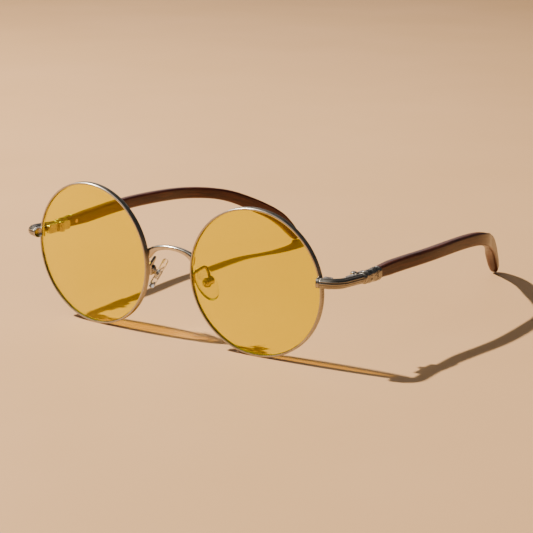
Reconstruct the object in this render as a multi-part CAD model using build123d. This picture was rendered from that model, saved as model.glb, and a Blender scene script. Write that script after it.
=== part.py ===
from build123d import *
import os
from math import cos, radians, sin, sqrt

# Round wire eyeglasses, built as the real pair is: two eyewires split at a closing block, a saddle
# bridge, reeded end pieces, three-knuckle hinges, metal temple caps and wooden temples.
# Axes: +X to the wearer's left, +Y back to the ears, +Z up. The origin lies on the table under
# the middle of the open pair. Only the wearer's left half is drawn; the right half mirrors it.

# Driving dimensions, millimetres and degrees
LENS_OPENING_R = 24.0      # the part of the lens that shows
RIM_WIRE = 0.65            # radial width of the eyewire
RIM_DEPTH = 2.1
RIM_EDGE = 0.12            # small bevels along the eyewire's outer edges
LENS_CENTRE_X = 33.6       # half the distance between the lens centres
FRONT_TILT = 3.0           # the front's top leans forward
FRONT_WRAP = 3.2           # each lens turns back at the temple side
FRONT_Y = -71.54           # front of the eyewires at their middle; centres the pair on the origin
LENS_PLANE_Y = FRONT_Y + RIM_DEPTH / 2
LENS_THICKNESS = 1.6
LENS_CURVE_R = 260.0
GROOVE_DEPTH = 0.3
GROOVE_HALF_WIDTH = 0.45
GROOVE_FLAT = 0.05         # half width of the groove's flat bottom
LENS_FREE_PLAY = 0.04

SPLIT_Z = 3.5              # height of the eyewire's split above the lens centre
SPLIT_GAP = 0.12
BLOCK_LOW = (24.3, -0.75, 1.9)      # corners of the pair of closing blocks, about the lens centre
BLOCK_HIGH = (27.3, 2.25, 4.95)
BLOCK_SCREW_R = 0.5
BLOCK_SCREW_HEAD_R = 0.85
BLOCK_SCREW_AT = (26.15, 1.15)

BRIDGE_DEPTH = 2.0
BRIDGE_EDGE = 0.45         # rounding along the bridge's edges
BRIDGE_Y = FRONT_Y + 1.05
# Front view of the bridge's left half as (x, z): upper and lower edge, both ending in the eyewire
BRIDGE_TOP = [(0.0, 31.95), (2.5, 31.85), (4.75, 31.55), (6.65, 31.1), (8.0, 30.6), (9.6, 29.85)]
BRIDGE_UNDERSIDE = [(0.0, 30.5), (1.5, 30.43), (3.2, 30.2), (5.0, 29.72), (6.5, 29.05), (7.8, 28.0),
                    (9.0, 26.5)]

END_ROD_R = 1.66
FLUTE_COUNT = 12
FLUTE_R = 0.26
END_ROD_X = 57.7           # inboard end of the end piece
END_ROD_Y = FRONT_Y
END_ROD_Z = 28.65
END_ROD_HEADING = 17.7
END_ROD_STRAIGHT = 2.1
END_ROD_BEND_R = 5.8
END_ROD_SLOPE = 4.0        # the end piece drops towards the hinge
CAP_LENGTH = 0.9
COLLAR_LENGTH = 0.7
COLLAR_STEP = 0.12         # how far the collar stands out of the end piece

SEAM_Y = FRONT_Y + 17.2
SEAM_GAP = 0.1
HINGE_X = 60.75
HINGE_Y = SEAM_Y - 0.9
HINGE_Z = 27.35
KNUCKLE_R = 1.15
KNUCKLE_H = 1.0
KNUCKLE_GAP = 0.06
HINGE_SCREW_R = 0.6
HINGE_HEAD_R = 0.95
RUNNING_CLEARANCE = 0.05
LEAF_THICKNESS = 1.25      # before the leaf is cut to the round part that it is brazed to
LEAF_OFFSET = 0.35         # hinge axis to the inner face of the leaves

CAP_X = 63.7               # centre of the temple cap at the seam
CAP_Z = 27.46
CAP_SPLAY = 0.04           # how far the cap leans outwards, per mm of length
CAP_SOCKET_END = SEAM_Y + 4.3
CAP_SHELL_END = SEAM_Y + 8.3
CAP_ROUNDING = 0.46        # corner radius of the cap's section, as a part of its thickness
# Sections of the temple cap: (distance behind its front face, height, thickness)
CAP_RING = [(0.0, 3.9, 3.05), (0.3, 4.15, 3.25), (0.6, 4.15, 3.25), (0.9, 3.8, 3.0)]
CAP_FRONT = [(0.9, 3.8, 3.0), (2.3, 4.4, 3.45), (3.7, 4.2, 3.25)]
CAP_REAR = [(3.7, 4.2, 3.25), (5.9, 4.7, 3.55), (8.2, 4.5, 3.4)]
CORE_START = 0.0           # fractions of the temple line
CORE_END = 0.34
CORE_HEIGHT = 1.7
CORE_THICKNESS = 0.8
RIVET_Y = FRONT_Y + 26.3
RIVET_R = 0.7

PAD_CENTRE = (10.3, FRONT_Y + 6.85, 19.85)
PAD_LENGTH = 12.4
PAD_WIDTH = 6.9
PAD_THICKNESS = 2.0
PAD_AZIMUTH = -31.5        # direction of the pad's back face in plan, from +X
PAD_ELEVATION = 29.0
PAD_ROLL = 17.0
BOX_OFFSET = 2.65         # pad centre to box centre
BOX_R = 1.4
BOX_LENGTH = 2.9
LUG_WIDTH = 1.0
LUG_PLAY = 0.08
PAD_SCREW_R = 0.4
PAD_SCREW_HEAD_R = 0.85
PAD_SCREW_HEAD = 0.7
ARM_WIRE_R = 0.5
# The pad arm's corners before it reaches its box: (x, y behind the front, z)
ARM_PATH = [(9.45, 1.32, 20.9), (9.35, 1.32, 24.3), (10.7, 5.9, 25.95), (11.9, 6.0, 23.6)]
ARM_BENDS = [0.7, 0.9, 0.9]

# Points that each temple's centre line passes through: (distance from the middle, y behind the front, z).
# The two are bent one at a time, so they differ a little at the ear.
TEMPLE_LINES = {
    "left": [(63.8, 19.0, 27.46), (64.0, 32.9, 27.7), (66.02, 52.6, 27.93), (65.95, 78.9, 27.32),
             (65.35, 92.1, 25.97), (63.0, 101.9, 23.43), (59.4, 109.8, 21.35), (55.9, 117.1, 19.05),
             (52.95, 124.1, 16.7), (48.05, 135.9, 9.8), (45.8, 144.2, 0.34)],
    "right": [(63.8, 19.0, 27.46), (64.15, 32.9, 27.7), (66.1, 52.6, 27.85), (66.0, 78.9, 27.15),
              (64.3, 99.2, 25.2), (58.4, 112.3, 22.5), (53.0, 123.6, 17.25), (48.3, 135.5, 9.85),
              (45.8, 144.2, 0.42)],
}
# Height and thickness of the wood at fractions of that line
TEMPLE_SIZES = {
    "left": [(0.0, 3.3, 2.5), (0.045, 3.75, 2.8), (0.1, 4.55, 3.15), (0.45, 4.6, 3.15), (0.6, 4.7, 2.95),
             (0.68, 5.0, 2.85), (0.76, 5.35, 3.05), (0.84, 5.4, 3.8), (0.9, 5.2, 4.3), (0.955, 4.4, 4.0),
             (0.98, 3.6, 3.5), (0.992, 2.8, 2.7), (1.0, 1.8, 1.7)],
    "right": [(0.0, 3.3, 2.5), (0.045, 3.8, 2.8), (0.1, 4.5, 3.15), (0.45, 4.5, 3.1), (0.66, 4.3, 2.8),
              (0.8, 5.3, 3.2), (0.9, 5.1, 4.1), (0.955, 4.4, 4.1), (0.98, 3.7, 3.6), (0.992, 2.9, 2.8),
              (1.0, 1.8, 1.7)],
}
TEMPLE_SECTIONS = 16
TEMPLE_TIP_STATIONS = [0.97, 0.985, 0.994, 1.0]
WOOD_ROUNDING = 0.44       # corner radius of the wood's section, as a part of its smaller side

RIM_RADIUS = LENS_OPENING_R + RIM_WIRE
LENS_CENTRE_Z = RIM_RADIUS * cos(radians(FRONT_TILT)) + (RIM_DEPTH / 2 - RIM_EDGE) * sin(radians(FRONT_TILT))


def lens_frame():
    """Place of the left lens: its axis is local Y, its temple side is local +X."""
    front = Pos(0, LENS_PLANE_Y, LENS_CENTRE_Z) * Rot(FRONT_TILT, 0, 0)
    return front * Pos(LENS_CENTRE_X, 0, 0) * Rot(0, 0, FRONT_WRAP)


def spin(points):
    """Revolve a closed outline, given as (radius, height along Y), about the lens axis."""
    return revolve(make_face(Polyline(*points, close=True)), Axis.Y, 360)


def block(low, high):
    """A box between two opposite corners."""
    size = [b - a for a, b in zip(low, high)]
    middle = [(a + b) / 2 for a, b in zip(low, high)]
    return Pos(*middle) * Box(*size)


def rod(radius, low_z, high_z, x=0.0, y=0.0):
    """An upright round bar."""
    return Pos(x, y, (low_z + high_z) / 2) * Cylinder(radius, high_z - low_z)


def interpolate(sizes, fraction):
    """Height and thickness of a wooden temple at a fraction of its centre line."""
    for (a, h0, t0), (b, h1, t1) in zip(sizes, sizes[1:]):
        if fraction <= b:
            k = (fraction - a) / (b - a)
            return h0 + k * (h1 - h0), t0 + k * (t1 - t0)
    return h1, t1


# ---------------------------------------------------------------- eyewires and lenses
def rim_disc(extra=0.0):
    """The whole space that the eyewire and its lens fill, for notching the parts brazed to it."""
    disc = Rot(90, 0, 0) * Cylinder(RIM_RADIUS + extra, RIM_DEPTH + 2 * extra)
    return lens_frame() * disc


def rim():
    """The eyewire: a grooved ring, split behind the end piece so that the lens can go in."""
    half = RIM_DEPTH / 2
    outline = [(LENS_OPENING_R, -half), (RIM_RADIUS - RIM_EDGE, -half), (RIM_RADIUS, RIM_EDGE - half),
               (RIM_RADIUS, half - RIM_EDGE), (RIM_RADIUS - RIM_EDGE, half), (LENS_OPENING_R, half),
               (LENS_OPENING_R, GROOVE_HALF_WIDTH), (LENS_OPENING_R + GROOVE_DEPTH, GROOVE_FLAT),
               (LENS_OPENING_R + GROOVE_DEPTH, -GROOVE_FLAT), (LENS_OPENING_R, -GROOVE_HALF_WIDTH)]
    split = block((20, -RIM_DEPTH, SPLIT_Z - SPLIT_GAP / 2), (28, RIM_DEPTH, SPLIT_Z + SPLIT_GAP / 2))
    return lens_frame() * (spin(outline) - split)


def lens():
    """A thin meniscus with a bevelled edge that sits in the eyewire's groove."""
    edge_r = LENS_OPENING_R - 0.1
    bevel_r = LENS_OPENING_R + GROOVE_DEPTH - LENS_FREE_PLAY
    half = LENS_THICKNESS / 2
    sag = LENS_CURVE_R - sqrt(LENS_CURVE_R ** 2 - edge_r ** 2)
    mid_sag = LENS_CURVE_R - sqrt(LENS_CURVE_R ** 2 - edge_r ** 2 / 4)
    bevel = GROOVE_HALF_WIDTH - LENS_FREE_PLAY
    front = ThreePointArc((0, -half - sag), (edge_r / 2, mid_sag - half - sag), (edge_r, -half))
    back = ThreePointArc((edge_r, half), (edge_r / 2, mid_sag + half - sag), (0, half - sag))
    edge = Polyline((edge_r, -half), (edge_r, -bevel), (bevel_r, 0), (edge_r, bevel), (edge_r, half))
    axis = Line((0, half - sag), (0, -half - sag))
    return lens_frame() * revolve(make_face([front, edge, back, axis]), Axis.Y, 360)


# ---------------------------------------------------------------- closing block
def closing_blocks():
    """Two small blocks, one brazed to each end of the eyewire, and the screw that closes them."""
    x, y = BLOCK_SCREW_AT
    hole = rod(BLOCK_SCREW_R, BLOCK_LOW[2], BLOCK_HIGH[2], x, y)
    head_seat = rod(BLOCK_SCREW_HEAD_R, BLOCK_HIGH[2] - 0.5, BLOCK_HIGH[2], x, y)
    lower = block(BLOCK_LOW, (BLOCK_HIGH[0], BLOCK_HIGH[1], SPLIT_Z - SPLIT_GAP / 2))
    upper = block((BLOCK_LOW[0], BLOCK_LOW[1], SPLIT_Z + SPLIT_GAP / 2), BLOCK_HIGH)
    upper = fillet(upper.edges().filter_by(Axis.Z).group_by(Axis.X)[-1], 0.5)
    lower = fillet(lower.edges().filter_by(Axis.Z).group_by(Axis.X)[-1], 0.5)
    screw = rod(BLOCK_SCREW_R, BLOCK_LOW[2] + 0.2, BLOCK_HIGH[2] - 0.4, x, y)
    screw += rod(BLOCK_SCREW_HEAD_R, BLOCK_HIGH[2] - 0.5, BLOCK_HIGH[2] - 0.05, x, y)
    slot = Pos(x, y, BLOCK_HIGH[2] - 0.1) * Box(2.2, 0.28, 0.3)
    place = lens_frame()
    keep_clear = end_rod(END_ROD_R) + rim_disc()
    upper = place * (upper - hole - head_seat) - keep_clear
    lower = place * (lower - hole) - keep_clear
    return biggest(upper), biggest(lower), place * (screw - slot)


def biggest(shape):
    """The largest solid of a cut shape, without its slivers."""
    return max(shape.solids(), key=lambda solid: solid.volume)


# ---------------------------------------------------------------- bridge
def bridge():
    """A saddle strap that arches over the nose and flares where it is brazed to the eyewires."""
    top = Spline(*BRIDGE_TOP, tangents=[(1, 0), (2, -1)])
    underside = Spline(*BRIDGE_UNDERSIDE, tangents=[(1, 0), (1, -1.4)])
    outline = make_face([top, Line(top @ 1, underside @ 1), underside, Line(underside @ 0, top @ 0)])
    strap = extrude(outline, BRIDGE_DEPTH / 2, both=True)
    long_edges = strap.edges().filter_by(GeomType.BSPLINE)
    strap = Pos(0, BRIDGE_Y, 0) * Rot(90, 0, 0) * fillet(long_edges, BRIDGE_EDGE)
    half = biggest(strap - rim_disc())
    return (half + mirror(half, Plane.YZ)).clean()


# ---------------------------------------------------------------- end piece
def end_rod_path():
    """Centre line of the end piece: out from the eyewire, round the corner and back to the hinge."""
    heading = radians(END_ROD_HEADING)
    out = (cos(heading), sin(heading))
    straight = Line((0, 0), (out[0] * END_ROD_STRAIGHT, out[1] * END_ROD_STRAIGHT))
    bend = JernArc(start=straight @ 1, tangent=straight % 1, radius=END_ROD_BEND_R,
                   arc_size=90 - END_ROD_HEADING)
    slope = cos(radians(END_ROD_SLOPE))
    back = Line(bend @ 1, ((bend @ 1).X, (SEAM_Y + 1.5 - END_ROD_Y) / slope))
    return Pos(END_ROD_X, END_ROD_Y, END_ROD_Z) * Rot(-END_ROD_SLOPE, 0, 0) * Wire([straight, bend, back])


def end_rod(radius):
    """The end piece as a plain round rod, cut square at the seam."""
    path = end_rod_path()
    section = Plane(path @ 0, x_dir=(0, 0, 1), z_dir=path % 0) * Circle(radius)
    bar = sweep(section, path=path)
    return bar - block((40, SEAM_Y, 0), (90, SEAM_Y + 20, 60))


def end_piece():
    """The reeded end piece with its domed cap, notched over the eyewire."""
    path = end_rod_path()
    start = Plane(path @ 0, x_dir=(0, 0, 1), z_dir=path % 0)
    flutes = PolarLocations(END_ROD_R + FLUTE_R * 0.35, FLUTE_COUNT)
    section = start * (Circle(END_ROD_R) - flutes * Circle(FLUTE_R))
    bar = sweep(section, path=path) - block((40, SEAM_Y, 0), (90, SEAM_Y + 20, 60))
    cap = start * (Pos(0, 0, CAP_LENGTH / 2 - 0.3) * Cylinder(END_ROD_R, CAP_LENGTH + 0.6))
    cap = fillet(cap.edges().sort_by(Axis(path @ 0, path % 0))[0], 0.5)
    collar = block((40, SEAM_Y - COLLAR_LENGTH, 0), (90, SEAM_Y, 60)) & end_rod(END_ROD_R + COLLAR_STEP)
    return biggest(bar + cap + collar - rim_disc(0.02))


# ---------------------------------------------------------------- hinge
def hinge_levels():
    """Bottom of each of the three knuckles."""
    pitch = KNUCKLE_H + KNUCKLE_GAP
    return [HINGE_Z + (i - 1) * pitch - KNUCKLE_H / 2 for i in range(3)]


def front_leaf():
    """The front's half of the hinge: a plate on the end piece with the outer two knuckles."""
    bottom, middle, top = hinge_levels()
    x0 = HINGE_X + LEAF_OFFSET
    x1 = x0 + LEAF_THICKNESS
    plate = block((x0, SEAM_Y - 6.9, bottom), (x1, HINGE_Y - 1.4, top + KNUCKLE_H))
    plate = fillet(plate.edges().filter_by(Axis.X).group_by(Axis.Y)[0], 0.8)
    leaf = plate
    for low in (bottom, top):
        leaf += block((x0, HINGE_Y - 1.5, low), (x0 + 0.75, HINGE_Y, low + KNUCKLE_H))
        leaf += rod(KNUCKLE_R, low, low + KNUCKLE_H, HINGE_X, HINGE_Y)
    bore = rod(HINGE_SCREW_R, bottom - 1, top + 3, HINGE_X, HINGE_Y)
    return biggest(leaf - bore - end_rod(END_ROD_R))


def temple_leaf():
    """The temple's half of the hinge: a plate on the temple cap with the middle knuckle."""
    bottom, middle, top = hinge_levels()
    x0 = HINGE_X + LEAF_OFFSET
    plate = block((x0, SEAM_Y + 0.45, bottom), (x0 + LEAF_THICKNESS, SEAM_Y + 4.2, top + KNUCKLE_H))
    plate = fillet(plate.edges().filter_by(Axis.X).group_by(Axis.Y)[-1], 0.8)
    arm = block((x0, HINGE_Y, middle), (x0 + 0.75, SEAM_Y + 0.6, middle + KNUCKLE_H))
    knuckle = rod(KNUCKLE_R, middle, middle + KNUCKLE_H, HINGE_X, HINGE_Y)
    bore = rod(HINGE_SCREW_R + RUNNING_CLEARANCE, bottom - 1, top + 3, HINGE_X, HINGE_Y)
    return biggest(plate + arm + knuckle - bore - cap_body())


def hinge_screw():
    """The screw that the temple turns on, with a slotted dome head."""
    bottom, middle, top = hinge_levels()
    head_z = top + KNUCKLE_H
    shank = rod(HINGE_SCREW_R, bottom, head_z + 0.1, HINGE_X, HINGE_Y)
    head = rod(HINGE_HEAD_R, head_z, head_z + 0.42, HINGE_X, HINGE_Y)
    head = fillet(head.edges().sort_by(Axis.Z)[-1], 0.3)
    slot = Pos(HINGE_X, HINGE_Y, head_z + 0.4) * Rot(0, 0, 35) * Box(2.4, 0.28, 0.4)
    return shank + head - slot


# ---------------------------------------------------------------- temple
def cap_section(along, height, thickness):
    """An upright rounded section of the temple cap, at a distance behind its front face."""
    y = SEAM_Y + SEAM_GAP + along
    centre = (CAP_X + CAP_SPLAY * (y - SEAM_Y), y, CAP_Z)
    outline = RectangleRounded(thickness, height, CAP_ROUNDING * thickness)
    return Plane(centre, x_dir=(1, 0, 0), z_dir=(0, 1, 0)) * outline


def cap_body():
    """Outside of the temple cap: a ring at the seam, then two soft swellings."""
    body = loft([cap_section(*size) for size in CAP_RING], ruled=True)
    for swelling in (CAP_FRONT, CAP_REAR):
        body += loft([cap_section(*size) for size in swelling])
    return body


def temple_line(side):
    """Centre line of one side's temple, drawn on the left."""
    return Spline(*[(x, FRONT_Y + y, z) for x, y, z in TEMPLE_LINES[side]])


def upright_plane(line, fraction):
    """Plane square to the temple line, with its local X level and pointing outwards."""
    tangent = line % fraction
    outward = Vector(tangent.Y, -tangent.X, 0).normalized()
    return Plane(line @ fraction, x_dir=outward, z_dir=tangent)


def wood_blank(side):
    """The wooden temple before its slot, hole and foot are cut."""
    line = temple_line(side)
    stations = [i / TEMPLE_SECTIONS for i in range(TEMPLE_SECTIONS)] + TEMPLE_TIP_STATIONS
    sections = []
    for fraction in stations:
        height, thickness = interpolate(TEMPLE_SIZES[side], fraction)
        outline = RectangleRounded(thickness, height, WOOD_ROUNDING * min(thickness, height))
        sections.append(upright_plane(line, fraction) * outline)
    return loft(sections)


def core(side):
    """Steel strip inside the wood, brazed to the temple cap."""
    line = temple_line(side)
    outline = Rectangle(CORE_THICKNESS, CORE_HEIGHT)
    stations = [CORE_START + (CORE_END - CORE_START) * i / 4 for i in range(5)]
    return loft([upright_plane(line, fraction) * outline for fraction in stations])


def rivet():
    """Blind rivet from the inner side through the core, its round head left showing."""
    x = CAP_X + CAP_SPLAY * (RIVET_Y - SEAM_Y)
    low = x - 1.35
    high = x + 0.9
    shank = Pos((low + high) / 2, RIVET_Y, CAP_Z) * Rot(0, 90, 0) * Cylinder(RIVET_R * 0.7, high - low)
    head = Pos(low - 0.05, RIVET_Y, CAP_Z) * Rot(0, 90, 0) * Cylinder(RIVET_R, 0.5)
    return shank + head


def temple_parts(side):
    """The cap, the wood, the core and the rivet of one side's temple, drawn on the left."""
    wood = wood_blank(side)
    strip = core(side)
    pin = rivet()
    inner_side = block((CAP_X - 9, CAP_SOCKET_END, 0), (CAP_X - 0.2, CAP_SHELL_END + 1, 60))
    cap = biggest(cap_body() - wood - inner_side)
    table = block((0, -200, -9), (200, 200, 0))
    wood = biggest(wood - strip - pin - table)
    return {"temple_cap": cap, "wood_temple": wood, "temple_core": biggest(strip - pin), "temple_rivet": pin}


# ---------------------------------------------------------------- nose pad and its arm
def pad_plane(distance=0.0):
    """Plane on the pad's middle: local X across the pad, local Y up it, normal towards its box."""
    azimuth = radians(PAD_AZIMUTH)
    elevation = radians(PAD_ELEVATION)
    normal = Vector(cos(azimuth) * cos(elevation), sin(azimuth) * cos(elevation), sin(elevation))
    level = Vector(-sin(azimuth), cos(azimuth), 0)
    across = level.rotate(Axis((0, 0, 0), normal), PAD_ROLL)
    return Plane(Vector(*PAD_CENTRE) + normal * distance, x_dir=across, z_dir=normal)


def nose_pad():
    """A clear soft oval with rounded edges, moulded round the foot of its lug."""
    oval = extrude(Ellipse(PAD_WIDTH / 2, PAD_LENGTH / 2), PAD_THICKNESS / 2, both=True)
    oval = fillet(oval.edges(), PAD_THICKNESS * 0.42)
    return pad_plane() * oval - pad_lug()


def pad_lug():
    """The lug that stands out of the pad into its box, bored for the box's screw."""
    foot = Pos(0, 0, 0.1) * Cylinder(1.6, 0.5)
    tongue = block((-LUG_WIDTH / 2, -0.75, 0.1), (LUG_WIDTH / 2, 0.75, BOX_OFFSET + 0.7))
    tongue = fillet(tongue.edges().filter_by(Axis.X).group_by(Axis.Z)[-1], 0.6)
    bore = Pos(0, 0, BOX_OFFSET) * Rot(0, 90, 0) * Cylinder(PAD_SCREW_R + RUNNING_CLEARANCE, 3)
    return pad_plane() * (foot + tongue - bore)


def pad_box():
    """The small barrel on the arm's end that the lug rocks in."""
    barrel = Rot(0, 90, 0) * Cylinder(BOX_R, BOX_LENGTH)
    barrel = fillet(barrel.edges(), 0.25)
    slot_half = LUG_WIDTH / 2 + LUG_PLAY
    slot = block((-slot_half, -BOX_R - 1, -BOX_R - 1), (slot_half, BOX_R + 1, 0.85))
    bore = Rot(0, 90, 0) * Cylinder(PAD_SCREW_R, 9)
    return pad_plane(BOX_OFFSET) * (barrel - slot - bore)


def pad_screw():
    """The screw across the box, its head on the front side."""
    shank = Rot(0, 90, 0) * Cylinder(PAD_SCREW_R, BOX_LENGTH)
    head = Rot(0, 90, 0) * Cylinder(PAD_SCREW_HEAD_R, PAD_SCREW_HEAD)
    head = Pos(-(BOX_LENGTH + PAD_SCREW_HEAD) / 2, 0, 0) * head
    head = fillet(head.edges().sort_by(Axis.X)[0], 0.25)
    slot = Pos(-BOX_LENGTH / 2 - PAD_SCREW_HEAD, 0, 0) * Box(0.5, 2, 0.25)
    return pad_plane(BOX_OFFSET) * (shank + head - slot)


def pad_arm():
    """The wire that stands off the eyewire's back, turns over and drops to the box."""
    top_of_box = pad_plane(BOX_OFFSET).origin + pad_plane().z_dir * BOX_R * 0.6
    corners = [(x, FRONT_Y + y, z) for x, y, z in ARM_PATH]
    path = FilletPolyline(*corners, tuple(top_of_box), radius=ARM_BENDS)
    section = Plane(path @ 0, z_dir=path % 0) * Circle(ARM_WIRE_R)
    wire = sweep(section, path=path)
    slot_space = pad_plane(BOX_OFFSET) * (Rot(0, 90, 0) * Cylinder(BOX_R - 0.02, BOX_LENGTH))
    return biggest(wire - rim_disc() - pad_box() - slot_space)


# ---------------------------------------------------------------- export
def shared_parts():
    """The pieces that are mirror images of each other on the two sides, by name, drawn on the left."""
    upper, lower, block_screw = closing_blocks()
    return {
        "rim": rim(), "lens": lens(), "upper_closing_block": upper, "lower_closing_block": lower,
        "closing_screw": block_screw, "end_piece": end_piece(), "front_hinge_leaf": front_leaf(),
        "hinge_screw": hinge_screw(), "temple_hinge_leaf": temple_leaf(), "pad_arm": pad_arm(),
        "pad_box": pad_box(), "pad_screw": pad_screw(), "nose_pad": nose_pad(), "pad_lug": pad_lug(),
    }


def main():
    os.makedirs("parts", exist_ok=True)
    export_step(bridge(), "parts/bridge.step")
    shared = shared_parts()
    for name, shape in {**shared, **temple_parts("left")}.items():
        export_step(shape, f"parts/left_{name}.step")
    for name, shape in {**shared, **temple_parts("right")}.items():
        export_step(mirror(shape, Plane.YZ), f"parts/right_{name}.step")


main()
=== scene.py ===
from math import cos, exp, pi, radians, sin, sqrt

import bpy
import numpy as np
from mathutils import Matrix, Vector


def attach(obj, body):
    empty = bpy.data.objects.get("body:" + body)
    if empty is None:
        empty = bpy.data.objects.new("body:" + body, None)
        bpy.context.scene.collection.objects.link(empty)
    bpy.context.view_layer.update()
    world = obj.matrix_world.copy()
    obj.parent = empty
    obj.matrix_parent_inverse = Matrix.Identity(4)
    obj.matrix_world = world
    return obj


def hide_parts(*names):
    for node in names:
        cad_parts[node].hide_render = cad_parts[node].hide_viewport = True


# The look of the round wire eyeglasses. Shapes are worked out in millimetres on the wearer's left side,
# in the CAD frame, and mirrored in X for the right side. Blender objects are in metres.

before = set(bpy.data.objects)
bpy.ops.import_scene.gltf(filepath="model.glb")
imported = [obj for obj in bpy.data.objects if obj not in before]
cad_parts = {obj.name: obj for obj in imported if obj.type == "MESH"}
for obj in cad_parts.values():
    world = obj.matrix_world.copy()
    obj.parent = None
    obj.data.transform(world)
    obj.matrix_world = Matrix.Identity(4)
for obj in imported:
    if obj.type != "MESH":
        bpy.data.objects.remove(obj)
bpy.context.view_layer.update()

MM = 0.001
SIDES = {"left": 1.0, "right": -1.0}

# Dimensions repeated from the CAD source, millimetres and degrees
FRONT_Y = -71.54
LENS_PLANE_Y = FRONT_Y + 1.05
LENS_CENTRE = (33.6, 24.6649)
FRONT_TILT = 3.0
FRONT_WRAP = 3.2
LENS_OPENING_R = 24.0
RIM_RADIUS = 24.65
RIM_DEPTH = 2.1
GROOVE_DEPTH = 0.3
GROOVE_HALF_WIDTH = 0.45
GROOVE_FLAT = 0.05
SPLIT_Z = 3.5
SPLIT_GAP = 0.12
LENS_THICKNESS = 1.6
LENS_CURVE_R = 260.0
BRIDGE_Y = FRONT_Y + 1.05
BRIDGE_TOP = [(0.0, 31.95), (2.5, 31.85), (4.75, 31.55), (6.65, 31.1), (8.0, 30.6), (9.6, 29.85)]
BRIDGE_UNDERSIDE = [(0.0, 30.5), (1.5, 30.43), (3.2, 30.2), (5.0, 29.72), (6.5, 29.05), (7.8, 28.0),
                    (9.0, 26.5)]
SEAM_Y = FRONT_Y + 17.2
SEAM_GAP = 0.1
END_ROD_START = (57.7, FRONT_Y, 28.65)
END_ROD_R = 1.66
END_ROD_HEADING = 17.7
END_ROD_STRAIGHT = 2.1
END_ROD_BEND_R = 5.8
END_ROD_SLOPE = 4.0
CAP_X = 63.7
CAP_Z = 27.46
CAP_SPLAY = 0.04
TEMPLE_LINES = {
    "left": [(63.8, 19.0, 27.46), (64.0, 32.9, 27.7), (66.02, 52.6, 27.93), (65.95, 78.9, 27.32),
             (65.35, 92.1, 25.97), (63.0, 101.9, 23.43), (59.4, 109.8, 21.35), (55.9, 117.1, 19.05),
             (52.95, 124.1, 16.7), (48.05, 135.9, 9.8), (45.8, 144.2, 0.34)],
    "right": [(63.8, 19.0, 27.46), (64.15, 32.9, 27.7), (66.1, 52.6, 27.85), (66.0, 78.9, 27.15),
              (64.3, 99.2, 25.2), (58.4, 112.3, 22.5), (53.0, 123.6, 17.25), (48.3, 135.5, 9.85),
              (45.8, 144.2, 0.42)],
}
TEMPLE_SIZES = {
    "left": [(0.0, 3.3, 2.5), (0.045, 3.75, 2.8), (0.1, 4.55, 3.15), (0.45, 4.6, 3.15), (0.6, 4.7, 2.95),
             (0.68, 5.0, 2.85), (0.76, 5.35, 3.05), (0.84, 5.4, 3.8), (0.9, 5.2, 4.3), (0.955, 4.4, 4.0),
             (0.98, 3.6, 3.5), (0.992, 2.8, 2.7), (1.0, 1.8, 1.7)],
    "right": [(0.0, 3.3, 2.5), (0.045, 3.8, 2.8), (0.1, 4.5, 3.15), (0.45, 4.5, 3.1), (0.66, 4.3, 2.8),
              (0.8, 5.3, 3.2), (0.9, 5.1, 4.1), (0.955, 4.4, 4.1), (0.98, 3.7, 3.6), (0.992, 2.9, 2.8),
              (1.0, 1.8, 1.7)],
}
PAD_CENTRE = (10.3, FRONT_Y + 6.85, 19.85)
PAD_LENGTH = 12.4
PAD_WIDTH = 6.9
PAD_THICKNESS = 2.0
PAD_AZIMUTH = -31.5
PAD_ELEVATION = 29.0
PAD_ROLL = 17.0


# ---------------------------------------------------------------- mesh helpers
def smoothstep(x):
    x = np.clip(x, 0.0, 1.0)
    return x * x * (3 - 2 * x)


def skin(loops, closed_path=False):
    """Points and faces of a tube through closed loops of points, with a fan over each open end."""
    loops = np.asarray(loops, float)
    count, around = loops.shape[:2]
    points = loops.reshape(-1, 3)
    faces = []
    for i in range(count if closed_path else count - 1):
        a, b = i * around, (i + 1) % count * around
        for j in range(around):
            k = (j + 1) % around
            faces.append((a + j, a + k, b + k, b + j))
    if not closed_path:
        last = (count - 1) * around
        points = np.vstack([points, loops[0].mean(0), loops[-1].mean(0)])
        for j in range(around):
            k = (j + 1) % around
            faces.append((len(points) - 2, k, j))
            faces.append((len(points) - 1, last + j, last + k))
    return points, faces


def spline(knots, samples):
    """Natural cubic spline through knots: distances along it and evenly spaced points."""
    knots = np.array(knots, float)
    t = np.concatenate([[0], np.cumsum(np.linalg.norm(np.diff(knots, axis=0), axis=1))])
    n = len(t)
    system = np.eye(n)
    right = np.zeros_like(knots)
    for i in range(1, n - 1):
        before, after = t[i] - t[i - 1], t[i + 1] - t[i]
        system[i, i - 1:i + 2] = before, 2 * (before + after), after
        right[i] = 6 * ((knots[i + 1] - knots[i]) / after - (knots[i] - knots[i - 1]) / before)
    bend = np.linalg.solve(system, right)
    at = np.linspace(0, t[-1], samples)
    i = np.clip(np.searchsorted(t, at, side="right") - 1, 0, n - 2)
    h = (t[i + 1] - t[i])[:, None]
    a, b = (t[i + 1] - at)[:, None] / h, (at - t[i])[:, None] / h
    bow = (a ** 3 - a) * bend[i] + (b ** 3 - b) * bend[i + 1]
    curve = a * knots[i] + b * knots[i + 1] + bow * h * h / 6
    length = np.concatenate([[0], np.cumsum(np.linalg.norm(np.diff(curve, axis=0), axis=1))])
    even = np.linspace(0, length[-1], samples)
    return even, np.stack([np.interp(even, length, axis) for axis in curve.T], axis=1)


def volume(points, faces):
    total = 0.0
    for f in faces:
        a = points[f[0]]
        for i in range(1, len(f) - 1):
            total += np.dot(a, np.cross(points[f[i]], points[f[i + 1]]))
    return total


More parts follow.
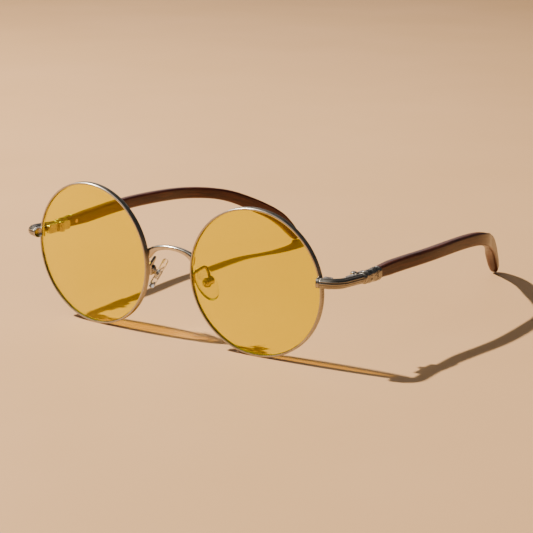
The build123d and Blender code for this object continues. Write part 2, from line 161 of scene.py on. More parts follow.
def piece(name, parts, body, material, stands_for=(), side="left", values=None, sharp=35):
    """One object from (points, faces) parts in millimetres, riding on a CAD body.

    values gives point attributes by name, as one number or one vector for each point.
    """
    points, faces = [], []
    for part_points, part_faces in parts:
        if volume(part_points, part_faces) < 0:
            part_faces = [f[::-1] for f in part_faces]
        first = sum(len(p) for p in points)
        points.append(part_points)
        faces += [tuple(first + i for i in f) for f in part_faces]
    points = np.vstack(points) * MM
    if SIDES[side] < 0:
        points = points * (-1, 1, 1)
        faces = [f[::-1] for f in faces]
    mesh = bpy.data.meshes.new(name)
    mesh.from_pydata(points.tolist(), [], faces)
    mesh.shade_smooth()
    mesh.set_sharp_from_angle(angle=radians(sharp))
    for key, data in (values or {}).items():
        data = np.asarray(data, np.float32)
        if data.ndim == 2:
            mesh.attributes.new(key, "FLOAT_VECTOR", "POINT").data.foreach_set("vector", data.ravel())
        else:
            mesh.attributes.new(key, "FLOAT", "POINT").data.foreach_set("value", data)
    mesh.materials.append(material)
    made = bpy.data.objects.new(name, mesh)
    bpy.context.scene.collection.objects.link(made)
    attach(made, body)
    if stands_for:
        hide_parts(*stands_for)
    return made


# ---------------------------------------------------------------- node helpers
def new_material(name):
    """A material with only an output, its node tree and its output node."""
    material = bpy.data.materials.new(name)
    material.use_nodes = True
    tree = material.node_tree
    tree.nodes.clear()
    return material, tree, tree.nodes.new("ShaderNodeOutputMaterial")


def node(tree, kind, inputs=None, **settings):
    """A node with its settings; an input is a socket to link or a value to set."""
    made = tree.nodes.new("ShaderNode" + kind)
    for key, value in settings.items():
        setattr(made, key, value)
    for key, value in (inputs or {}).items():
        if isinstance(value, bpy.types.NodeSocket):
            tree.links.new(value, made.inputs[key])
        else:
            made.inputs[key].default_value = value
    return made


def noise(tree, vector, scale, detail=4.0, rough=0.55, distortion=0.0):
    values = {"Vector": vector, "Scale": scale, "Detail": detail, "Roughness": rough,
              "Distortion": distortion}
    return node(tree, "TexNoise", values).outputs["Fac"]


def ramp(tree, factor, stops):
    """Colour ramp from (place, colour) stops."""
    made = node(tree, "ValToRGB", {"Fac": factor})
    elements = made.color_ramp.elements
    elements[0].position, elements[0].color = stops[0][0], (*stops[0][1], 1)
    elements[1].position, elements[1].color = stops[-1][0], (*stops[-1][1], 1)
    for place, colour in stops[1:-1]:
        elements.new(place).color = (*colour, 1)
    return made.outputs["Color"]


def spread(tree, value, low, high, from_low=0.3, from_high=0.7):
    """A value's range from_low to from_high stretched to low to high, and held there outside it."""
    values = {"Value": value, "From Min": from_low, "From Max": from_high, "To Min": low, "To Max": high}
    return node(tree, "MapRange", values).outputs["Result"]


def mixed(tree, factor, a, b, blend="MIX"):
    made = node(tree, "Mix", data_type="RGBA", blend_type=blend)
    for key, value in ((0, factor), (6, a), (7, b)):
        if isinstance(value, bpy.types.NodeSocket):
            tree.links.new(value, made.inputs[key])
        else:
            made.inputs[key].default_value = value if key == 0 else (*value, 1)
    return made.outputs[2]


def bump(tree, height, strength, distance, below=None):
    values = {"Height": height, "Strength": strength, "Distance": distance}
    if below is not None:
        values["Normal"] = below
    return node(tree, "Bump", values).outputs["Normal"]


def local(tree):
    return node(tree, "TexCoord").outputs["Object"]


def attribute(tree, name, output="Fac"):
    return node(tree, "Attribute", attribute_name=name).outputs[output]


# ---------------------------------------------------------------- materials
def metal(name, bright, dark, rough, relief=None, grain=1.0):
    """Antique plated metal: uneven tarnish, fine polishing haze, and a relief's recesses darkened, partly as
    patina and partly as painted shade.
    """
    material, tree, out = new_material(name)
    place = local(tree)
    tarnish = noise(tree, place, 260.0, 5.0, 0.6)
    specks = noise(tree, place, 2600.0, 3.0, 0.5)
    colour = mixed(tree, spread(tree, tarnish, 0.0, 0.5), bright, dark)
    colour = mixed(tree, spread(tree, specks, 0.0, 0.22, 0.5, 0.75), colour, dark)
    if relief:
        depth = attribute(tree, relief)
        # The relief darkens recesses: partly patina in the hollows, partly painted shade standing in for
        # occlusion.
        patina_and_shade = tuple(0.30 * c for c in dark)
        colour = mixed(tree, spread(tree, depth, 0.75, 0.0, 0.0, 1.0), colour, patina_and_shade)
    haze = spread(tree, noise(tree, place, 900.0, 6.0, 0.65), rough * 0.8, rough * 1.3)
    fine = noise(tree, place, 5200.0, 2.0, 0.5)
    normal = bump(tree, fine, 0.25 * grain, 0.00003)
    normal = bump(tree, tarnish, 0.2 * grain, 0.00008, normal)
    values = {"Base Color": colour, "Metallic": 1.0, "Roughness": haze, "Normal": normal}
    shader = node(tree, "BsdfPrincipled", values)
    tree.links.new(shader.outputs["BSDF"], out.inputs["Surface"])
    return material


def glass(name, tint, shadow, rough, ior, clouds=0.0, shine=(1.0, 1.0, 1.0)):
    """Clear solid material that lets lamps through: its shadow is tinted, not black."""
    material, tree, out = new_material(name)
    place = local(tree)
    film = noise(tree, place, 60.0, 3.0, 0.5)
    colour = mixed(tree, spread(tree, film, 0.0, 0.35), tint, tuple(c * (1 - clouds) for c in tint))
    ripple = noise(tree, place, 45.0, 2.0, 0.4)
    values = {"Base Color": colour, "Roughness": rough, "IOR": ior, "Transmission Weight": 1.0,
              "Specular Tint": (*shine, 1), "Normal": bump(tree, ripple, 0.08, 0.00005)}
    solid = node(tree, "BsdfPrincipled", values)
    clear = node(tree, "BsdfTransparent", {"Color": (*shadow, 1)})
    lamps = node(tree, "LightPath").outputs["Is Shadow Ray"]
    both = node(tree, "MixShader", {"Fac": lamps})
    tree.links.new(solid.outputs["BSDF"], both.inputs[1])
    tree.links.new(clear.outputs["BSDF"], both.inputs[2])
    tree.links.new(both.outputs["Shader"], out.inputs["Surface"])
    return material


def wood(name, shift):
    """Oiled rosewood: dark streaks and pores that follow the temple's own length."""
    material, tree, out = new_material(name)
    along = attribute(tree, "grain", "Vector")
    moved = node(tree, "VectorMath", {0: along, 1: shift}, operation="ADD").outputs["Vector"]
    stretched = node(tree, "Mapping", {"Vector": moved, "Scale": (0.035, 0.62, 0.62)}).outputs["Vector"]
    streaks = noise(tree, stretched, 1.6, 6.0, 0.62, 0.9)
    fine = node(tree, "Mapping", {"Vector": moved, "Scale": (0.12, 3.4, 3.4)}).outputs["Vector"]
    fibres = noise(tree, fine, 1.7, 5.0, 0.65, 0.4)
    pore_place = node(tree, "Mapping", {"Vector": moved, "Scale": (0.55, 7.0, 7.0)}).outputs["Vector"]
    pores = noise(tree, pore_place, 1.5, 2.0, 0.5)
    body = ramp(tree, streaks, [(0.28, (0.030, 0.007, 0.004)), (0.44, (0.064, 0.016, 0.009)),
                                (0.56, (0.102, 0.027, 0.015)), (0.72, (0.150, 0.046, 0.026))])
    fibre_tone = ramp(tree, fibres, [(0.30, (0.50, 0.44, 0.42)), (0.62, (1.0, 1.0, 1.0))])
    colour = mixed(tree, 0.85, body, fibre_tone, "MULTIPLY")
    pore_dark = spread(tree, pores, 0.0, 0.75, 0.60, 0.72)
    colour = mixed(tree, pore_dark, colour, (0.018, 0.006, 0.004))
    rough = spread(tree, fibres, 0.26, 0.40)
    height = node(tree, "Math", {0: fibres, 1: pore_dark}, operation="SUBTRACT").outputs["Value"]
    values = {"Base Color": colour, "Roughness": rough, "Normal": bump(tree, height, 0.35, 0.00006),
              "Coat Weight": 0.12, "Coat Roughness": 0.22, "Specular IOR Level": 0.32}
    shader = node(tree, "BsdfPrincipled", values)
    tree.links.new(shader.outputs["BSDF"], out.inputs["Surface"])
    return material


def floor_material():
    """Plain pale matt tabletop with the faintest mottling."""
    material, tree, out = new_material("pale_floor")
    place = local(tree)
    mottle = noise(tree, place, 9.0, 4.0, 0.5)
    colour = ramp(tree, mottle, [(0.3, (0.700, 0.390, 0.160)), (0.7, (0.740, 0.416, 0.178))])
    grit = noise(tree, place, 900.0, 2.0, 0.5)
    values = {"Base Color": colour, "Roughness": 0.62, "Normal": bump(tree, grit, 0.15, 0.0001)}
    shader = node(tree, "BsdfPrincipled", values)
    tree.links.new(shader.outputs["BSDF"], out.inputs["Surface"])
    return material


SILVER = (0.560, 0.508, 0.430)
SILVER_DARK = (0.310, 0.265, 0.212)
MATERIALS = {
    "frame_metal": metal("antique_silver", SILVER, SILVER_DARK, 0.22),
    "engraved_metal": metal("engraved_silver", (0.430, 0.400, 0.350), (0.200, 0.178, 0.150), 0.25, "relief"),
    "screw_metal": metal("screw_steel", (0.560, 0.530, 0.480), (0.260, 0.235, 0.200), 0.30),
    "rivet_metal": metal("rivet_brass", (0.800, 0.560, 0.260), (0.420, 0.260, 0.110), 0.28),
    "core_steel": metal("core_steel", (0.480, 0.470, 0.455), (0.260, 0.250, 0.240), 0.40),
    "tinted_lens": glass("golden_lens", (0.880, 0.770, 0.0001), (0.760, 0.620, 0.008), 0.0, 1.5, 0.04,
                         (1.0, 0.70, 0.05)),
    "clear_pad": glass("clear_silicone", (0.975, 0.965, 0.940), (0.93, 0.92, 0.90), 0.07, 1.41, 0.05),
    "pad_insert": metal("pad_insert_silver", (0.620, 0.590, 0.540), (0.330, 0.300, 0.260), 0.28),
}
# A darker copy of the frame silver for the eyewires and end pieces; the extra darkness is painted shade for
# their floor-facing side.
REEDED = metal("reeded_silver", (0.455, 0.412, 0.345), (0.235, 0.200, 0.156), 0.31, "relief")
WOODS = {"left": wood("rosewood_left", (3.0, 11.0, 5.0)), "right": wood("rosewood_right", (71.0, 2.0, 19.0))}


# ---------------------------------------------------------------- eyewires and lenses
def lens_place(points):
    """Points of the lens frame, in millimetres (its axis is local Y), in the CAD frame."""
    front = Matrix.Translation((0, LENS_PLANE_Y, LENS_CENTRE[1]))
    front = front @ Matrix.Rotation(radians(FRONT_TILT), 4, "X")
    eye = Matrix.Translation((LENS_CENTRE[0], 0, 0)) @ Matrix.Rotation(radians(FRONT_WRAP), 4, "Z")
    m = np.array(front @ eye)
    return np.asarray(points) @ m[:3, :3].T + m[:3, 3]


def rim_profile():
    """Closed outline of the eyewire as (radius, y), and how much of each point the edge milling moves."""
    half = RIM_DEPTH / 2
    inner, outer = LENS_OPENING_R, RIM_RADIUS
    # a small rounded lip inside, a flat front face, and a plain raised band outside
    front_lip = [(inner, -half + 0.12), (inner + 0.04, -half + 0.03), (inner + 0.12, -half)]
    front_face = [(inner + 0.33, -half), (outer - 0.14, -half + 0.03)]
    band = [(outer - 0.03, -half + 0.14), (outer, -half + 0.23), (outer - 0.03, -half + 0.29)]
    milled = [(outer - 0.03, y) for y in np.linspace(-half + 0.34, half - 0.34, 9)]
    back = [(r, -y) for r, y in (front_lip + front_face + band)[::-1]]
    bottom = inner + GROOVE_DEPTH
    groove = [(inner, GROOVE_HALF_WIDTH), (bottom, GROOVE_FLAT), (bottom, -GROOVE_FLAT),
              (inner, -GROOVE_HALF_WIDTH)]
    outline = front_lip + front_face + band + milled + back + groove
    first = len(front_lip + front_face + band)
    weight = np.zeros(len(outline))
    weight[first:first + len(milled)] = 1.0
    weight[[first, first + len(milled) - 1]] = 0.4
    return np.array(outline), weight


MILL_COUNT = 300           # ridges round the eyewire
MILL_STEPS = 6             # mesh steps to each ridge
MILL_HEIGHT = 0.045
MILL_SLANT = 0.75          # ridges passed for each millimetre of depth
MILL_SHADE = 0.9           # how much of the relief's darkening the bottoms get


def rim(side):
    """The eyewire: a grooved ring with a fine slanting coin edge, split behind the end piece."""
    outline, weight = rim_profile()
    radius, y = outline.T
    split = np.arcsin(SPLIT_Z / (LENS_OPENING_R + 0.3))
    half_gap = SPLIT_GAP / 2 / LENS_OPENING_R
    turns = np.linspace(split + half_gap, split + 2 * pi - half_gap, MILL_COUNT * MILL_STEPS + 1)
    wave = 0.5 + 0.5 * np.cos(MILL_COUNT * turns[:, None] + 2 * pi * y[None, :] * MILL_SLANT)
    reach = radius[None, :] - MILL_HEIGHT * weight[None, :] * (1 - wave)
    relief = 1 - weight[None, :] * (1 - wave) * MILL_SHADE
    loops = np.stack([reach * np.cos(turns)[:, None], np.broadcast_to(y, reach.shape),
                      reach * np.sin(turns)[:, None]], axis=2)
    points, faces = skin(lens_place(loops.reshape(-1, 3)).reshape(loops.shape))
    values = {"relief": np.append(relief.ravel(), [1, 1])}
    piece(f"{side}_eyewire", [(points, faces)], "front", REEDED, [f"{side}_rim"], side, values)


def lens(side):
    """A thin polished meniscus with a bevelled edge that sits in the eyewire's groove."""
    edge = LENS_OPENING_R - 0.1
    bevel = LENS_OPENING_R + GROOVE_DEPTH - 0.04
    half = LENS_THICKNESS / 2
    sag = LENS_CURVE_R - sqrt(LENS_CURVE_R ** 2 - edge ** 2)
    radii = np.concatenate([np.linspace(0.3, 22.5, 30), np.linspace(22.9, edge - 0.06, 6)])
    rise = LENS_CURVE_R - np.sqrt(LENS_CURVE_R ** 2 - radii ** 2)
    front = list(zip(radii, rise - half - sag))
    back = list(zip(radii, rise + half - sag))
    rim_side = [(edge, -half + 0.05), (edge, -0.41), (bevel, 0.0), (edge, 0.41), (edge, half - 0.05)]
    outline = np.array(front + rim_side + back[::-1])
    turns = np.linspace(0, 2 * pi, 193)[:-1]
    loops = np.stack([outline[:, :1] * np.cos(turns), np.repeat(outline[:, 1:], len(turns), 1),
                      outline[:, :1] * np.sin(turns)], axis=2)
    points, faces = skin(lens_place(loops.reshape(-1, 3)).reshape(loops.shape))
    piece(f"{side}_lens_glass", [(points, faces)], "front", MATERIALS["tinted_lens"],
          [f"{side}_lens"], side, sharp=25)


# ---------------------------------------------------------------- bridge
BRIDGE_HALF_DEPTH = 0.98
BRIDGE_FLARE = 0.10        # extra half depth where it meets the eyewires


def bridge():
    """The saddle strap: crowned top and underside, flaring into a braze fillet at each eyewire."""
    rows = []
    for edge in (BRIDGE_TOP, BRIDGE_UNDERSIDE):
        whole = [(-x, z) for x, z in edge[:0:-1]] + edge
        rows.append(spline(whole, 141)[1])
    top, under = rows
    turns = np.linspace(0, 2 * pi, 49)[:-1]
    # powers below 1 square the round section up
    across = np.sign(np.cos(turns)) * np.abs(np.cos(turns)) ** 0.62
    rise = np.sign(np.sin(turns)) * np.abs(np.sin(turns)) ** 0.72
    loops = []
    for i, (a, b) in enumerate(zip(top, under)):
        middle, half = (a + b) / 2, (a - b) / 2
        from_end = min(i, len(top) - 1 - i) / len(top)
        depth = BRIDGE_HALF_DEPTH + BRIDGE_FLARE * (1 - float(smoothstep((from_end - 0.03) / 0.12)))
        flat = middle + np.outer(rise, half)
        loops.append(np.column_stack([flat[:, 0], BRIDGE_Y + depth * across, flat[:, 1]]))
    piece("saddle_bridge", [skin(loops)], "front", MATERIALS["frame_metal"], ["bridge"],
          sharp=50)


# ---------------------------------------------------------------- end piece
REEDS = 14
REED_HALF_WIDTH = 0.27
REED_DEPTH = 0.08
REED_FIRST = 0.95          # along the rod, where the reeding starts
REED_STOP = 2.1            # before the seam, where it stops in rounded ends
COLLAR = 1.15              # length of the collar at the seam
DOME = 0.62                # radius of the rounding round the front button
NECK_AT = 0.78             # along the rod, where a groove sets the button off
NECK_DEPTH = 0.10
COLLAR_GROOVE_DEPTH = 0.12
COLLAR_SWELL = 0.11
GROOVE_SPREAD = 0.13       # how wide those turned grooves are


def end_rod_frames(step):
    """Stations along the end piece: distance, point, tangent and up vector."""
    heading = radians(END_ROD_HEADING)
    bend_angle = pi / 2 - heading
    bend_length = END_ROD_BEND_R * bend_angle
    slope = radians(END_ROD_SLOPE)
    bend_start = np.array([cos(heading), sin(heading)]) * END_ROD_STRAIGHT
    centre = bend_start + END_ROD_BEND_R * np.array([-sin(heading), cos(heading)])
    bend_end = centre + np.array([END_ROD_BEND_R, 0.0])
    run = (SEAM_Y - END_ROD_START[1]) / cos(slope) - bend_end[1]
    total = END_ROD_STRAIGHT + bend_length + run
    stations = []
    for s in np.arange(0, total, step).tolist() + [total]:
        if s < END_ROD_STRAIGHT:
            angle, spot = heading, np.array([cos(heading), sin(heading)]) * s
        elif s < END_ROD_STRAIGHT + bend_length:
            angle = heading + (s - END_ROD_STRAIGHT) / END_ROD_BEND_R
            spot = centre + END_ROD_BEND_R * np.array([sin(angle), -cos(angle)])
        else:
            angle, spot = pi / 2, bend_end + (0, s - END_ROD_STRAIGHT - bend_length)
        stations.append((s, spot, (cos(angle), sin(angle))))
    fall = Matrix.Rotation(-slope, 3, "X")
    frames = []
    for s, spot, heading_2d in stations:
        point = Vector(END_ROD_START) + fall @ Vector((*spot, 0))
        tangent, up = fall @ Vector((*heading_2d, 0)), fall @ Vector((0, 0, 1))
        frames.append((s, np.array(point), np.array(tangent), np.array(up)))
    return frames, total


def end_piece(side):
    """The reeded end piece: a domed button in front, reeds with rounded ends, and a collar at the seam."""
    around = 168
    frames, total = end_rod_frames(0.16)
    theta = np.linspace(0, 2 * pi, around + 1)[:-1]
    pitch = 2 * pi / REEDS
    offset = (np.mod(theta + pitch / 2, pitch) - pitch / 2) * END_ROD_R
    loops, relief = [], []

    def ring(point, tangent, up, radius, shade):
        outward = np.cross(tangent, up)
        loops.append(point + np.outer(radius * np.cos(theta), up) + np.outer(radius * np.sin(theta), outward))
        relief.append(np.broadcast_to(shade, theta.shape))

    _, point, tangent, up = frames[0]
    for turn in np.linspace(8, 82, 9):
        dome = radians(turn)
        ring(point + tangent * DOME * (1 - sin(dome)) - tangent * 0.30, tangent, up,
             END_ROD_R - DOME + DOME * cos(pi / 2 - dome), 1.0)
    for s, point, tangent, up in frames:
        if s < 0.40:
            continue
        past_end = max(0.0, s - (total - REED_STOP), REED_FIRST - s)
        reach = np.hypot(offset, past_end) / REED_HALF_WIDTH
        cut = np.sqrt(np.clip(1 - reach ** 2, 0, 1))
        radius = END_ROD_R - REED_DEPTH * cut
        shade = 1 - 0.95 * cut ** 1.5
        neck = exp(-((s - NECK_AT) / GROOVE_SPREAD) ** 2)
        radius = radius - NECK_DEPTH * neck
        shade = shade * (1 - 0.75 * neck)
        from_seam = total - s
        groove = exp(-((from_seam - COLLAR) / GROOVE_SPREAD) ** 2)
        swell = float(smoothstep((COLLAR - from_seam) / 0.25))
        radius = radius - COLLAR_GROOVE_DEPTH * groove + COLLAR_SWELL * swell
        shade = shade * (1 - 0.85 * groove)
        lip = exp(-(from_seam / 0.12) ** 2)
        ring(point, tangent, up, radius - 0.06 * lip, shade)
    points, faces = skin(loops)
    points[:, 1] = np.minimum(points[:, 1], SEAM_Y)
    values = {"relief": np.append(np.concatenate(relief), [1, 1])}
    piece(f"{side}_reeded_end", [(points, faces)], "front", REEDED, [f"{side}_end_piece"],
          side, values, sharp=50)


# ---------------------------------------------------------------- temples
def temple_curve(side):
    """Centre line of one side's temple: distances, points and tangents, evenly spaced."""
    distance, curve = spline([(x, FRONT_Y + y, z) for x, y, z in TEMPLE_LINES[side]], 1200)
    tangent = np.gradient(curve, axis=0)
    return distance, curve, tangent / np.linalg.norm(tangent, axis=1)[:, None]


def rounded_loop(half_width, half_height, corner, steps):
    """A rounded rectangle as unit-order points (across, up), the same count for every size."""
    points = []
    for quarter in range(4):
        sx, sy = ((1, 1), (-1, 1), (-1, -1), (1, -1))[quarter]
        for k in range(steps):
            angle = pi / 2 * (quarter + k / (steps - 1))
            points.append((sx * (half_width - corner) + corner * cos(angle),
                           sy * (half_height - corner) + corner * sin(angle)))
    return np.array(points)


WOOD_CORNER = 0.30         # corner radius of the wood's section, as a part of its smaller side


def wood_loop(curve, sizes, fraction, scale):
    """The wood's section at a fraction of its line, softly squared, with its local coordinates."""
    distance, line, directions = curve
    fractions = [f for f, h, t in sizes]
    height = np.interp(fraction, fractions, [h for f, h, t in sizes]) * scale
    thickness = np.interp(fraction, fractions, [t for f, h, t in sizes]) * scale
    section = rounded_loop(thickness / 2, height / 2, WOOD_CORNER * min(thickness, height), 9)
    # the long faces are a little crowned
    section[:, 0] *= 1 - 0.05 * (section[:, 1] / (height / 2)) ** 2
    where = fraction * distance[-1]
    point = [np.interp(where, distance, line[:, k]) for k in range(3)]
    tangent = np.array([np.interp(where, distance, directions[:, k]) for k in range(3)])
    tangent /= np.linalg.norm(tangent)
    outward = np.array([tangent[1], -tangent[0], 0])
    outward /= np.linalg.norm(outward)
    up = np.cross(outward, tangent)
    return np.array(point) + np.outer(section[:, 0], outward) + np.outer(section[:, 1], up), section, where


def wood_temple(side):
    """The carved wooden temple, down to its slightly rounded tip."""
    curve = temple_curve(side)
    loops, grain = [], []
    stations = [(0.0, 0.92), (0.0006, 0.98)] + [(f, 1.0) for f in np.linspace(0.0015, 0.985, 220)]
    stations += [(0.985 + 0.014 * sin(a), 0.12 + 0.88 * cos(a)) for a in np.linspace(0.15, pi / 2, 10)]
    for fraction, scale in stations:
        loop, section, where = wood_loop(curve, TEMPLE_SIZES[side], fraction, scale)
        loops.append(loop)
        grain.append(np.column_stack([np.full(len(section), where), section]))
    points, faces = skin(loops)
    points[:, 2] = np.maximum(points[:, 2], 0.0)
    grain = np.vstack(grain + [[(0, 0, 0)], [(curve[0][-1], 0, 0)]])
    piece(f"{side}_carved_temple", [(points, faces)], f"{side}_temple", WOODS[side],
          [f"{side}_wood_temple"], side, {"grain": grain}, sharp=60)


# ---------------------------------------------------------------- engraved temple cap
CAP_RING = [(0.0, 3.85, 2.98), (0.08, 4.1, 3.2), (0.3, 4.15, 3.25), (0.6, 4.15, 3.25), (0.78, 3.95, 3.1),
            (0.9, 3.75, 2.95), (1.05, 3.8, 3.0)]
CAP_FRONT = [(1.05, 3.8, 3.0), (1.3, 4.1, 3.25), (2.3, 4.4, 3.45), (3.1, 4.35, 3.4), (3.55, 4.2, 3.25)]
CAP_REAR = [(3.55, 4.2, 3.25), (3.75, 4.0, 3.1), (4.0, 4.3, 3.3), (5.9, 4.7, 3.55), (7.1, 4.6, 3.5),
            (7.35, 4.4, 3.3), (7.5, 4.65, 3.5), (7.9, 4.65, 3.5), (8.15, 4.5, 3.4), (8.2, 4.3, 3.2)]
CAP_ROUNDING = 0.46        # corner radius, as a part of the width
SHELL_THICKNESS = 0.45
ENGRAVE_DEPTH = 0.07


def segment_distance(u, v, a, b):
    """Distance of the points (u, v) from the segment a to b."""
    d = np.subtract(b, a)
    t = np.clip(((u - a[0]) * d[0] + (v - a[1]) * d[1]) / np.dot(d, d), 0, 1)
    return np.hypot(u - a[0] - t * d[0], v - a[1] - t * d[1])


def leaf_strokes():
    """Engraver's strokes as (start, end, half width) on the cap: u runs back from the seam, v round it."""
    strokes = []

    def spray(u, v, heading, size, flip):
        """A curling stem with leaflets on both sides."""
        for k in range(5):
            turn = heading + flip * 0.38 * k
            nu, nv = u + size * cos(turn), v + size * sin(turn)
            strokes.append(((u, v), (nu, nv), 0.085))
            for lean in (0.9, -0.9):
                reach = size * (1.15 - 0.15 * k)
                leaf_tip = (nu + reach * cos(turn + lean), nv + reach * sin(turn + lean))
                strokes.append(((nu, nv), leaf_tip, 0.10))
            u, v = nu, nv

    def rosette(u, v, size):
        for k in range(6):
            turn = pi / 3 * k + 0.3
            strokes.append(((u + 0.2 * size * cos(turn), v + 0.2 * size * sin(turn)),
                            (u + size * cos(turn), v + size * sin(turn)), 0.13))

    for v in np.arange(-6.0, 6.1, 2.4):
        rosette(2.3, v, 0.56)
        for lean in (-1, 1):
            strokes.append(((1.65, v + lean * 1.2), (2.95, v + lean * 1.2), 0.07))
    for v in np.arange(-6.6, 6.7, 2.2):
        spray(4.3, v - 0.5, 0.25, 0.52, 1)
        spray(6.9, v + 0.6, pi + 0.25, 0.46, 1)
    return strokes


STROKES = leaf_strokes()


def engraving(u, v):
    """Share of the full depth, 0 on the surface and 1 at the bottom of a stroke."""
    deep = np.zeros_like(u)
    for a, b, half in STROKES:
        near = (np.abs(u - (a[0] + b[0]) / 2) < 1.3) & (np.abs(v - (a[1] + b[1]) / 2) < 1.3)
        if near.any():
            away = segment_distance(u[near], v[near], a, b) / half
            deep[near] = np.maximum(deep[near], np.clip(1.25 - away, 0, 1))
    return smoothstep(deep)


def cap_surface(sizes, along, side_range, count):
    """Loops of the cap's outside between two directions, engraved, and the relief at each point, which
    darkens the strokes and, as painted shade, the steep steps of the profile.
    """
    stops = [s[0] for s in sizes]
    loops, relief = [], []
    for u in along:
        height = np.interp(u, stops, [s[1] for s in sizes])
        width = np.interp(u, stops, [s[2] for s in sizes])
        corner = CAP_ROUNDING * width
        angle = np.linspace(*side_range, count)
        # direction -> point on the rounded rectangle: march along its outline by arc length
        full = rounded_loop(width / 2, height / 2, corner, 24)
        full = np.vstack([full, full[:1]])
        run = np.concatenate([[0], np.cumsum(np.linalg.norm(np.diff(full, axis=0), axis=1))])
        want = angle / (2 * pi) * run[-1]
        section = np.stack([np.interp(np.mod(want, run[-1]), run, full[:, k]) for k in (0, 1)], axis=1)
        v = np.mod(want + run[-1] / 2, run[-1]) - run[-1] / 2
        deep = engraving(np.full(count, u), v)
        inward = -section / np.linalg.norm(section, axis=1)[:, None]
        section = section + inward * (ENGRAVE_DEPTH * deep)[:, None]
        y = SEAM_Y + SEAM_GAP + u
        x = CAP_X + CAP_SPLAY * (y - SEAM_Y)
        loops.append(np.column_stack([x + section[:, 0], np.full(count, y), CAP_Z + section[:, 1]]))
        # Painted shade: the steep steps of the cap's profile are darkened as well as the engraved strokes.
        slope = np.interp(u, stops, np.abs(np.gradient([s[1] for s in sizes], stops)))
        relief.append(np.clip(1 - deep, 0, 1) * (1 - 0.6 * min(1.0, slope / 2.5)))
    return np.array(loops), np.array(relief)


def temple_cap(side):
    """The chased temple cap: a plain ring, an engraved barrel, and a half shell over the wood's outside."""
    count = 240
    sizes = CAP_RING + CAP_FRONT[1:] + CAP_REAR[1:3] + [(4.2, 4.32, 3.32)]
    along = np.unique(np.concatenate([np.linspace(0, 1.05, 16), np.linspace(1.05, 4.2, 56)]))
    turn = (0, 2 * pi * (1 - 1 / count))
    barrel, barrel_relief = cap_surface(sizes, along, turn, count)
    closed = skin(barrel)
    along = np.unique(np.concatenate([np.linspace(4.1, 7.1, 60), np.linspace(7.1, 8.2, 24)]))
    quarter = 2 * pi * 0.262
    shell, shell_relief = cap_surface(CAP_REAR, along, (-quarter, quarter), 150)
    centre = np.stack([CAP_X + CAP_SPLAY * (shell[:, :1, 1] - SEAM_Y), shell[:, :1, 1],
                       np.full((len(along), 1), CAP_Z)], axis=2)
    spoke = shell - centre
    size = np.linalg.norm(spoke, axis=2, keepdims=True)
    inside = (centre + spoke * (size - SHELL_THICKNESS) / size)[:, ::-1]
    cover = skin(np.concatenate([shell, inside], axis=1))
    # Painted shade: the end fans and the inside of the half shell get low values, so they come out dark.
    shade = np.concatenate([barrel_relief.ravel(), [0.2, 0.2],
                            np.concatenate([shell_relief, np.full(shell_relief.shape, 0.2)], axis=1).ravel(),
                            [0.6, 0.6]])
    piece(f"{side}_chased_cap", [closed, cover], f"{side}_temple",
          MATERIALS["engraved_metal"], [f"{side}_temple_cap"], side, {"relief": shade}, sharp=50)


# ---------------------------------------------------------------- nose pads
PAD_RINGS = 7
PAD_RING_HEIGHT = 0.05


def pad_axes():
    """The pad's across, up and normal directions; the normal points to its box."""
    azimuth, elevation = radians(PAD_AZIMUTH), radians(PAD_ELEVATION)
    normal = Vector((cos(azimuth) * cos(elevation), sin(azimuth) * cos(elevation), sin(elevation)))
    level = Vector((-sin(azimuth), cos(azimuth), 0))
    across = Matrix.Rotation(radians(PAD_ROLL), 3, normal) @ level
    return np.array(across), np.array(normal.cross(across)), np.array(normal)


def nose_pad(side):
    """A soft clear oval pad with moulded concentric rings on the face towards its arm."""
    across, up, normal = pad_axes()
    round_r = PAD_THICKNESS * 0.42
    half = PAD_THICKNESS / 2
    profile = []
    for t in np.linspace(0.02, 1, 64):
        ring = 0.5 - 0.5 * cos(2 * pi * PAD_RINGS * t)
        fade = float(smoothstep((1 - t) / 0.08))
        profile.append((t, 0.0, half - PAD_RING_HEIGHT * ring * fade - 0.10 * (1 - t * t)))
    for a in np.linspace(0, pi, 15)[1:-1]:
        middle = (half - round_r) * (1 if a < pi / 2 else -1)
        profile.append((1.0, round_r * sin(a), middle + round_r * cos(a)))
    for t in np.linspace(1, 0.02, 24):
        profile.append((t, 0.0, -half + 0.12 * (1 - t * t)))
    theta = np.linspace(0, 2 * pi, 129)[:-1]
    a, b = PAD_WIDTH / 2 - round_r, PAD_LENGTH / 2 - round_r
    loops = []
    for t, out, height in profile:
        away = np.column_stack([np.cos(theta) / a, np.sin(theta) / b])
        away /= np.linalg.norm(away, axis=1)[:, None]
        flat = np.column_stack([t * a * np.cos(theta), t * b * np.sin(theta)]) + out * away
        lifted = np.array(PAD_CENTRE) + np.outer(flat[:, 0], across) + np.outer(flat[:, 1], up)
        loops.append(lifted + height * normal)
    points, faces = skin(loops)
    piece(f"{side}_silicone_pad", [(points, faces)], f"{side}_pad", MATERIALS["clear_pad"],
          [f"{side}_nose_pad"], side, sharp=60)


# ---------------------------------------------------------------- build
bridge()
for name in SIDES:
    rim(name)
    lens(name)
    end_piece(name)
    temple_cap(name)
    wood_temple(name)
    nose_pad(name)

NODE_SLOT = {
    "upper_closing_block": "frame_metal", "lower_closing_block": "frame_metal",
    "closing_screw": "screw_metal", "front_hinge_leaf": "frame_metal", "hinge_screw": "screw_metal",
    "temple_hinge_leaf": "frame_metal", "temple_core": "core_steel", "temple_rivet": "rivet_metal",
    "pad_arm": "frame_metal", "pad_box": "frame_metal", "pad_screw": "screw_metal", "pad_lug": "pad_insert",
}
for name, cad_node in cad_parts.items():
    kind = name.removeprefix("left_").removeprefix("right_")
    if kind in NODE_SLOT:
        cad_node.data.materials.clear()
        cad_node.data.materials.append(MATERIALS[NODE_SLOT[kind]])


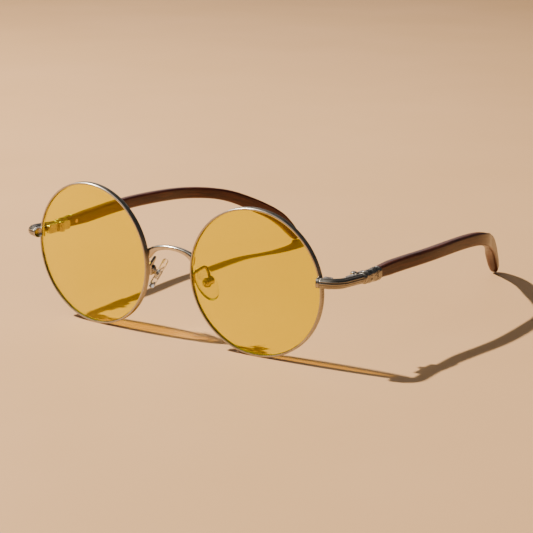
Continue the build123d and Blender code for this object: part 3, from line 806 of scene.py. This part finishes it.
# ---------------------------------------------------------------- floor, lights and camera
def floor():
    rings = [0.0001, 0.1, 0.3, 0.8, 2.0, 6.0]
    theta = np.linspace(0, 2 * pi, 97)[:-1]
    points = [(r * cos(a), r * sin(a), 0.0) for r in rings for a in theta]
    faces = []
    for i in range(len(rings) - 1):
        for j in range(96):
            k = (j + 1) % 96
            faces.append((i * 96 + j, (i + 1) * 96 + j, (i + 1) * 96 + k, i * 96 + k))
    mesh = bpy.data.meshes.new("pale_floor")
    mesh.from_pydata(points, [], faces)
    mesh.materials.append(floor_material())
    made = bpy.data.objects.new("pale_floor", mesh)
    bpy.context.scene.collection.objects.link(made)


def area_light(name, spot, target, size, power, colour):
    data = bpy.data.lights.new(name, "AREA")
    data.shape = "DISK"
    data.size = size
    data.energy = power
    data.color = colour
    lamp = bpy.data.objects.new(name, data)
    lamp.location = spot
    lamp.rotation_euler = (Vector(target) - Vector(spot)).to_track_quat("-Z", "Y").to_euler()
    bpy.context.scene.collection.objects.link(lamp)


def studio():
    world = bpy.data.worlds.new("studio_air")
    world.use_nodes = True
    background = world.node_tree.nodes["Background"]
    background.inputs["Color"].default_value = (0.72, 0.78, 0.86, 1)
    background.inputs["Strength"].default_value = 0.11
    bpy.context.scene.world = world
    towards_key = -Vector((0.80, 0.26, -1.0)).normalized()
    centre = Vector((0, -0.02, 0.02))
    area_light("key", centre + towards_key * 1.6, centre, 0.05, 64.0, (1.0, 0.95, 0.88))
    area_light("overhead", (0.10, -0.55, 1.40), centre, 1.1, 3.2, (1.0, 0.98, 0.95))
    area_light("far_window", (-1.15, 1.60, 0.75), centre, 1.1, 2.0, (1.0, 0.88, 0.84))


def camera():
    yaw, pitch, roll = radians(34.624), radians(14.371), radians(0.342)
    forward = Vector((-sin(yaw) * cos(pitch), cos(yaw) * cos(pitch), -sin(pitch)))
    level = Vector((cos(yaw), sin(yaw), 0))
    high = level.cross(forward)
    right = level * cos(roll) + high * sin(roll)
    up = -level * sin(roll) + high * cos(roll)
    data = bpy.data.cameras.new("photo_view")
    data.sensor_width = 36.0
    data.lens = 114.8
    data.shift_x = -0.0006
    data.shift_y = 0.0015
    data.clip_start = 0.01
    data.clip_end = 50.0
    made = bpy.data.objects.new("photo_view", data)
    place = Matrix((right, up, -forward)).transposed().to_4x4()
    place.translation = Vector((0.33332, -0.42683 + FRONT_Y * MM, 0.16361))
    made.matrix_world = place
    bpy.context.scene.collection.objects.link(made)
    bpy.context.scene.camera = made


floor()
studio()
camera()
